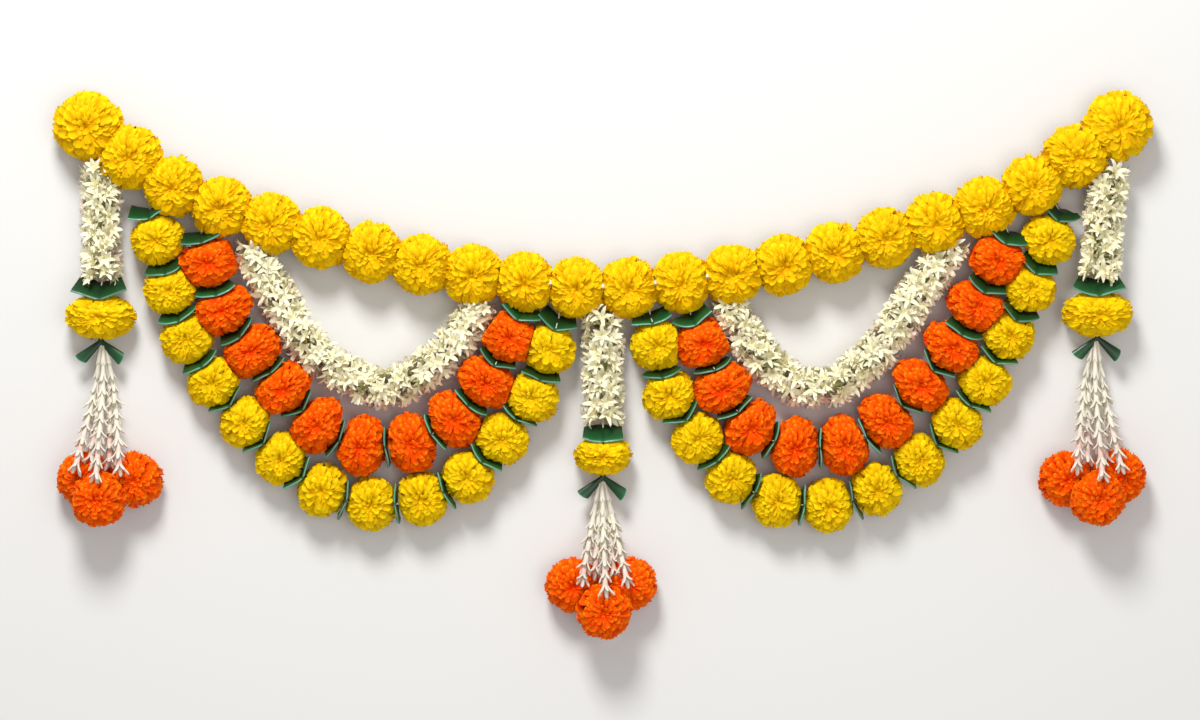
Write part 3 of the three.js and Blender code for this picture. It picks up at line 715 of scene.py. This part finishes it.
def add_florets(pale, blushed, route, start, end, width, seed):
    """Star-shaped florets in whorls, each on its tube, facing away from the rope's middle. Those
    that face the surface or down the doorway are the more often blushed."""
    rng = np.random.default_rng(seed)
    whorls = max(2, round((end - start) * route.length / FLORET_PITCH))
    inset = FLORET_INSET / route.length
    shares = np.linspace(start + (inset if start == 0 else 0.5 * (end - start) / whorls),
                         end - (inset if end == 1 else 0.5 * (end - start) / whorls), whorls)
    for i, share in enumerate(shares):
        centre, direction, side, over = route.frames(share)
        reach = FLORET_SHARE * width(share)
        for j in range(FLORETS_AROUND):
            # Every other whorl is turned by half a step, and the upper florets face more sideways
            angle = 2 * math.pi * (j + 0.5 * (i % 2) + rng.uniform(-FLORET_TURN, FLORET_TURN))
            angle = angle / FLORETS_AROUND
            outwards = side * math.cos(angle) + over * math.sin(angle)
            sideways = side * np.sign(outwards @ side) * max(outwards[2], 0)
            facing = unit(outwards + sideways * rng.uniform(*FLORET_FACING["sideways"])
                          + direction * rng.uniform(*FLORET_FACING["along"])
                          + np.cross(outwards, rng.normal(0, FLORET_FACING["tilt"], 3)))
            around = unit(np.cross(direction, outwards))
            root = centre + outwards * FLORET_ROOT + direction * rng.uniform(*FLORET_SLIP)
            throat = centre + facing * reach * rng.uniform(*FLORET_THROAT)
            throat[2] = max(throat[2], LOWEST_THROAT)
            chance = (FLORET_BLUSH["all"] - FLORET_BLUSH["under"] * outwards[2]
                      - FLORET_BLUSH["lower"] * outwards[1])
            piece = blushed if rng.random() < chance else pale
            add_floret(piece, centre, root, throat, facing, around, reach, rng)


def kept_in(points, centre, reach):
    """A floret's points, kept inside the rope's own width and above the surface."""
    offsets = points - centre
    length = np.linalg.norm(offsets, axis=-1, keepdims=True)
    placed = offsets * np.minimum(1, FLORET_LIMIT * reach / np.maximum(length, TINY)) + centre
    placed[..., 2] = np.maximum(placed[..., 2], LOWEST_JASMINE)
    return placed


def add_floret(piece, centre, root, throat, facing, around, reach, rng):
    """Five or six narrow petals that open round the throat, and the tube up to it."""
    n = FLORET_PETALS - (rng.random() < 0.5)
    spin = rng.uniform(0, 2 * math.pi)
    other = np.cross(facing, around)
    angle = spin + 2 * math.pi * (np.arange(n) + rng.uniform(-0.12, 0.12, n)) / n
    out = around[None] * np.cos(angle)[:, None] + other[None] * np.sin(angle)[:, None]
    out = out[:, None, None, :]
    flank = np.cross(facing, out)
    s = np.linspace(0, 1, FLORET_PETAL["rows"]).reshape(1, -1, 1)
    v = np.array([-1, 0, 1.0]).reshape(1, 1, -1)
    length = (rng.uniform(*FLORET_PETAL["length"], n) * reach).reshape(-1, 1, 1)
    openness = rng.uniform(*FLORET_PETAL["openness"], n).reshape(-1, 1, 1)
    openness = openness * rng.uniform(*FLORET_OPENNESS)

    # Widest near its middle, and bent back a little at the tip
    swell = np.sin(math.pi * np.clip(0.14 + 0.84 * s, 0, 1)) ** 0.7
    half = FLORET_PETAL["half_width"] * swell * (1 - 0.15 * s) + FLORET_PETAL["tip"]
    outward = length * np.sin(openness * (0.6 + 0.4 * s)) * s
    forward = length * (np.cos(openness * (0.6 + 0.4 * s)) * s - 0.12 * s ** 3)
    cup = FLORET_PETAL["cup"] * v ** 2 * (1 - s)
    points = (throat + out * outward[..., None] + facing * forward[..., None]
              + flank * (v * half)[..., None] + facing * cup[..., None])
    tone = 0.30 + 0.70 * s ** 0.6 + 0 * v * length
    shade = rng.uniform(0, 1, n).reshape(-1, 1, 1)
    piece.add_grids(kept_in(points, centre, reach), tone, shade)

    steps = FLORET_TUBE["steps"]
    line = root + (throat - root) * steps[:, None]
    tube = rings(line, around[None], other[None], FLORET_TUBE["radii"], FLORET_TUBE["sides"])
    tone = (0.12 + 0.25 * steps)[None, :, None]
    piece.add_grids(kept_in(tube, centre, reach)[None], tone, shade=0.5, closed=True)


def add_rope_core(piece, route, start, end):
    """The tied middle of a rope, which shows between its florets."""
    count = max(4, round((end - start) * route.length / ROPE_CORE["pitch"]))
    centre, _, side, over = route.frames(np.linspace(start, end, count))
    radii = np.full(count, ROPE_CORE["radius"])
    radii[[0, -1]] *= ROPE_CORE["end"]
    tube = rings(centre, side, over, radii, ROPE_CORE["sides"])
    piece.add_grids(tube[None], tone=0.05, shade=0.5, closed=True)


# Bud strings
def add_buds(piece, route, seed):
    """Long white buds threaded one into the next. Each ends in a few petals like short fingers."""
    rng = np.random.default_rng(seed)
    count = round(route.length / BUD_LENGTH)
    for i in range(count):
        shares = np.clip((i + BUD_STEPS) / count, 0, 1)
        centres, directions, sides, overs = route.frames(shares)
        size = min(LARGEST_BUD, FIRST_BUD + BUD_GROWTH * i)

        # The lower half of a string is blushed, and its first few buds open less
        blush = np.clip(1.8 * (i / count - 0.5), 0, 0.6) * rng.uniform(0.5, 1.2)
        spread = 0.3 + 0.7 * min(1, i / 2.5)
        tube = rings(centres, sides, overs, BUD_RADII * size, BUD_SIDES)
        tone = (0.1 + 0.35 * BUD_STEPS.clip(0) + blush)[None, :, None]
        piece.add_grids(tube[None], tone, rng.uniform(0, 1), closed=True)
        add_fingers(piece, centres[-1], directions[-1], sides[-1], size, spread, blush, rng)
    add_thread(piece, route.at(np.linspace(0, 1, 12)), BUD_THREAD_RADIUS)


def add_fingers(piece, mouth, ahead, side, size, spread, blush, rng):
    """The petals at a bud's mouth. They bend outwards on their way ahead."""
    over = np.cross(ahead, side)
    angle = rng.uniform(0, 2 * math.pi) + 2 * math.pi * np.arange(BUD_PETALS) / BUD_PETALS
    out = side * np.cos(angle)[:, None] + over * np.sin(angle)[:, None]
    flank = np.cross(ahead, out)
    length = rng.uniform(*FINGER["length"], (BUD_PETALS, 1)) * size
    flare = rng.uniform(*FINGER["flare"], (BUD_PETALS, 1)) * spread
    bend = flare * (0.25 + 0.75 * FINGER_STEPS)
    step = np.diff(FINGER_STEPS, prepend=0)
    away = FINGER["out"] * size + length * np.cumsum(np.sin(bend) * step, axis=1)
    along = length * np.cumsum(np.cos(bend) * step, axis=1) - FINGER["back"]
    line = mouth + out[:, None] * away[..., None] + ahead * along[..., None]
    normal = out[:, None] * np.cos(bend)[..., None] - ahead * np.sin(bend)[..., None]
    ring = all_round(FINGER["sides"])
    widths = FINGER_WIDTHS[:, None] * size
    wide = (FINGER["half_width"] * widths * np.cos(ring))[None, ..., None]
    deep = (FINGER["half_depth"] * widths * np.sin(ring))[None, ..., None]
    points = line[:, :, None] + flank[:, None, None] * wide + normal[:, :, None] * deep
    points[..., 2] = np.maximum(points[..., 2], LOWEST_JASMINE)
    tone = (0.35 + 0.5 * blush * (1 - FINGER_STEPS))[None, :, None]
    piece.add_grids(points, tone, rng.uniform(0, 1, (BUD_PETALS, 1, 1)), closed=True)


# What the petals keep clear of, as planes that face away from the bloom
def planes_at_blooms(bloom, others):
    planes = []
    for other in others:
        if other is bloom:
            continue
        between = other.centre - bloom.centre
        distance = np.linalg.norm(between)
        if distance > NEAR_BLOOM or (bloom.row and other.row == bloom.row):
            continue
        normal = between / distance
        own, theirs = bloom.reach(normal), other.reach(normal)
        if own + theirs > distance:
            planes.append((normal, distance * own / (own + theirs)))
    return planes


def planes_at_leaves(bloom):
    """Two planes at each leaf, one for each arm, which differ where the arms bend round this bloom."""
    planes = []
    for station in (bloom.before, bloom.after):
        if station is None:
            continue
        foot, _, normal, across = leaf_frame(station)
        outwards = normal * np.sign((foot - bloom.centre) @ normal)
        towards = max(0, station.bend * np.sign(outwards @ station.direction))
        for arm in (-1, 1):
            facing = unit(outwards + across * arm * towards / (0.5 * station.size["length"]))
            planes.append((facing, (foot - bloom.centre) @ facing - FOLD_RADIUS - LEAF_ROOM))
    return planes


def planes_at_jasmine(bloom, routes):
    planes = []
    for route in routes:
        between = (route.nearest(bloom.centre) - bloom.centre) * [1, 1, 0]
        distance = np.linalg.norm(between)
        planes.append((between / distance, distance - CLEAR_SHARE * JASMINE_REACH))
    return planes


# Where the blooms and leaves are
def main_string():
    points = [[-x, y] for x, y in MAIN_HALF[:0:-1]] + MAIN_HALF
    route = Route(points, MAIN_DEPTH * FLAT_BACK)
    blooms = []
    for i in range(MAIN_BLOOMS):
        share = i / (MAIN_BLOOMS - 1)
        from_end = min(i, MAIN_BLOOMS - 1 - i)
        growth = MAIN_END_GROWTH[from_end] if from_end < len(MAIN_END_GROWTH) else 0
        radius = MAIN_RADIUS + growth
        x, y, _ = route.direction(share)
        blooms.append(Bloom(f"main_bloom_{i + 1:02d}", route.at(share),
                            [radius, radius, MAIN_DEPTH], math.atan2(y, x), MAIN_SEED + i, "main"))
    return route, blooms


def tassel_blooms():
    """Each tassel's own bloom, and the three of its bunch."""
    blooms = []
    for number, (side, spec) in enumerate(TASSELS.items()):
        seed = TASSEL_SEED + TASSEL_SEED_STEP * number
        bloom = Bloom(f"{side}_tassel_bloom", place(spec["bloom"], TASSEL_HEIGHT),
                      [spec["along"], spec["across"], TASSEL_DEPTH], -math.pi / 2, seed, "tassel")
        bloom.before = collar_station(spec)
        blooms.append(bloom)
        for i, (spot, rise) in enumerate(zip(spec["bunch"], BUNCH_RISES)):
            centre = place(spot, BUNCH_RADIUS * FLAT_BACK + rise)
            blooms.append(Bloom(f"{side}_tassel_bunch", centre, [BUNCH_RADIUS] * 3, 0,
                                seed + 1 + i, "bunch"))
    return blooms


def swag_row(side, name, seed):
    """A row's blooms, and the stations of its leaves: between the blooms and beyond both ends."""
    size = ROWS[name]
    route = Route(SWAGS[side][name], size["depth"] * FLAT_BACK)
    groups = [g + 1 for g, number in enumerate(size["groups"]) for _ in range(number)]
    gaps = len(groups) - 1
    pitch = route.length / gaps
    blooms = []
    for i, group in enumerate(groups):
        share = i / gaps
        x, y, _ = route.direction(share)
        blooms.append(Bloom(f"{side}_{name}_blooms_{group}", route.at(share),
                            [pitch / 2 + ROOM, size["half_width"], size["depth"]],
                            math.atan2(y, x), seed + i, name, row=f"{side}_{name}"))
    shift = pitch / 2 + END_LEAF_SHIFT
    first, last = route.direction(0), route.direction(1)
    spots = [(route.at((i + 0.5) / gaps), route.direction((i + 0.5) / gaps)) for i in range(gaps)]
    spots = [(route.at(0) - first * shift, first), *spots, (route.at(1) + last * shift, last)]
    rng = np.random.default_rng(seed + STATION_SEED)
    stations = [swag_station(point, direction, rng) for point, direction in spots]
    for bloom, before, after in zip(blooms, stations, stations[1:]):
        bloom.before, bloom.after = before, after
    return blooms, stations


# The pieces
def build_blooms(blooms, jasmine_routes):
    """The blooms of one node grow into one piece."""
    pieces = {}
    for bloom in blooms:
        planes = planes_at_blooms(bloom, blooms) + planes_at_leaves(bloom)
        if bloom.kind == "inner":
            planes += planes_at_jasmine(bloom, jasmine_routes)
        piece, _ = pieces.setdefault(bloom.node, (Piece(), KINDS[bloom.kind]))
        add_bloom(piece, bloom, planes)
    for node, (piece, kind) in pieces.items():
        piece.build(f"{node}_petals", kind["material"], [node], kind["slot"])


def build_leafy_threads(row_stations, main_route):
    for number, (name, stations) in enumerate(row_stations.items()):
        rng = np.random.default_rng(ROW_LEAF_SEED + number)
        leaves, thread = Piece(), Piece()
        for station in stations:
            add_leaf(leaves, thread, station, rng)
        points = [station.point for station in stations]
        ends = [tie_point(main_route, point) for point in (points[0], points[-1])]
        add_thread(thread, [ends[0], *points, ends[1]])
        leaves.build(f"{name}_leaves", GREEN, [f"{name}_leafy_thread"], "leaf_green")
        thread.build(f"{name}_thread", COTTON, [f"{name}_leafy_thread"], "cotton_thread")


def build_main_thread(main_route):
    thread = Piece()
    add_thread(thread, main_route.at(np.linspace(0, 1, 80)))
    for gap in STUB_GAPS:
        add_thread(thread, main_route.at(gap / (MAIN_BLOOMS - 1)) + STUB_POINTS, STUB_RADIUS)
    thread.build("main_string_thread", COTTON, ["main_thread"], "cotton_thread")


def build_jasmine_swags(jasmine_routes, main_route):
    for number, (side, route) in enumerate(jasmine_routes.items()):
        for part in range(JASMINE_PARTS):
            seed = JASMINE_SEED + JASMINE_SEED_STEP * number + part
            pale, blushed = Piece(), Piece()
            start, end = part / JASMINE_PARTS, (part + 1) / JASMINE_PARTS
            add_florets(pale, blushed, route, start, end, swag_width, seed)
            add_rope_core(pale, route, start, end)
            for share in (0, 1):
                if share in (start, end):
                    add_thread(pale, [route.at(share), tie_point(main_route, route.at(share))])
            node = f"{side}_jasmine_swag_{part + 1}"
            pale.build(f"{node}_pale_florets", CREAM, [node], "jasmine_white")
            blushed.build(f"{node}_blushed_florets", BLUSH, [node], "jasmine_white")


def build_strand(side, spec, seed, main_route):
    """A tassel's jasmine strand."""
    middle = np.mean([spec["top"], spec["foot"]], axis=0)
    route = Route([spec["top"], middle, spec["foot"]], TASSEL_HEIGHT)
    pale, blushed = Piece(), Piece()
    add_florets(pale, blushed, route, 0, 1, lambda share: JASMINE_REACH, seed)
    add_rope_core(pale, route, 0, 1)
    add_thread(pale, [route.at(0), tie_point(main_route, route.at(0))])
    pale.build(f"{side}_tassel_pale_florets", CREAM, [f"{side}_tassel_jasmine"], "jasmine_white")
    blushed.build(f"{side}_tassel_blushed_florets", BLUSH, [f"{side}_tassel_jasmine"], "jasmine_white")


def build_tassel_leaves(side, spec, seed):
    """The collar leaf over a tassel's bloom, the two cones under it, and the thread through all."""
    rng = np.random.default_rng(seed)
    collar = collar_station(spec)
    under = place(spec["bloom"], TASSEL_HEIGHT) - [0, spec["along"] + CONE_GAP, 0]
    leaves, thread = Piece(), Piece()
    add_leaf(leaves, thread, collar, rng)
    for angle in CONE_ANGLES:
        add_leaf_cone(leaves, under, angle, rng)
    ends = [place(spec[key], TASSEL_HEIGHT) for key in ("foot", "bud_top")]
    add_thread(thread, [ends[0], collar.point, under, ends[1]])
    leaves.build(f"{side}_tassel_leaves", GREEN, [f"{side}_tassel_leafy_thread"], "leaf_green")
    thread.build(f"{side}_tassel_thread", COTTON, [f"{side}_tassel_leafy_thread"], "cotton_thread")


def build_bud_strings(side, spec, seed):
    buds = Piece()
    for i, string in enumerate(BUD_STRINGS):
        x, y = string["foot"]
        *middle_heights, foot_height = string["heights"]
        bunch_x, bunch_y = spec["bunch"][-1]
        top = np.array([*spec["bud_top"], TASSEL_HEIGHT]) + [x * BUD_TOP_SPACING, -BUD_TOP_DROP, 0]
        foot = np.array([bunch_x + x, bunch_y + y, foot_height])
        bends = [top + share * (foot - top) for share in BUD_BENDS]
        for bend, height in zip(bends, middle_heights):
            bend[2] = height
        add_buds(buds, BudRoute([top, *bends, foot]), seed + i)
    buds.build(f"{side}_tassel_bud_strings", BUD, [f"{side}_tassel_buds"], "jasmine_white")


# Floor, light and camera
def add_floor():
    material = bpy.data.materials.new("floor")
    material.use_nodes = True
    shader = material.node_tree.nodes["Principled BSDF"]
    shader.inputs["Base Color"].default_value = (*FLOOR_COLOUR, 1)
    shader.inputs["Roughness"].default_value = FLOOR_ROUGHNESS
    half = FLOOR_SIZE / 2
    mesh = bpy.data.meshes.new("floor")
    corners = [(-half, -half, 0), (half, -half, 0), (half, half, 0), (-half, half, 0)]
    mesh.from_pydata(corners, [], [(0, 1, 2, 3)])
    mesh.materials.append(material)
    floor = bpy.data.objects.new("floor", mesh)
    bpy.context.scene.collection.objects.link(floor)


def add_area_light(name, location, size, energy):
    """A round light that faces the middle of the garland."""
    light = bpy.data.lights.new(name, "AREA")
    light.shape = "DISK"
    light.size = size
    light.energy = energy
    lamp = bpy.data.objects.new(name, light)
    lamp.location = location
    towards = -np.array(location)
    yaw = math.atan2(towards[1], towards[0])
    tip = math.atan2(math.hypot(towards[0], towards[1]), -towards[2])
    lamp.rotation_euler = (tip, 0, yaw - math.pi / 2)
    bpy.context.scene.collection.objects.link(lamp)


def add_camera():
    data = bpy.data.cameras.new("camera")
    data.sensor_width = SENSOR
    data.lens = SENSOR * CAMERA_DISTANCE / FIELD_WIDTH
    data.clip_end = CAMERA_SIGHT
    camera = bpy.data.objects.new("camera", data)
    camera.location = (*FIELD_CENTRE, MIDDLE_HEIGHT + CAMERA_DISTANCE)
    bpy.context.scene.collection.objects.link(camera)
    bpy.context.scene.camera = camera


def add_world():
    world = bpy.data.worlds.new("studio")
    world.use_nodes = True
    background = world.node_tree.nodes["Background"]
    background.inputs["Color"].default_value = (1, 1, 1, 1)
    background.inputs["Strength"].default_value = WORLD_STRENGTH
    bpy.context.scene.world = world


# The garland
main_route, blooms = main_string()
blooms += tassel_blooms()
row_stations = {}
for side in SWAGS:
    for name in ROWS:
        seed = ROW_SEED + ROW_SEED_STEP * len(row_stations)
        row_blooms, row_stations[f"{side}_{name}"] = swag_row(side, name, seed)
        blooms += row_blooms
jasmine_routes = {side: Route(swag["jasmine"], JASMINE_HEIGHT) for side, swag in SWAGS.items()}

build_blooms(blooms, jasmine_routes.values())
build_leafy_threads(row_stations, main_route)
build_main_thread(main_route)
build_jasmine_swags(jasmine_routes, main_route)
for number, (side, spec) in enumerate(TASSELS.items()):
    seed = TASSEL_SEED + TASSEL_SEED_STEP * number
    build_strand(side, spec, seed + STRAND_SEED, main_route)
    build_tassel_leaves(side, spec, TASSEL_LEAF_SEED + number)
    build_bud_strings(side, spec, seed + BUD_SEED)

add_floor()
for name, light in LIGHTS.items():
    add_area_light(name, **light)
add_camera()
add_world()
bpy.context.scene.view_settings.view_transform = "Standard"
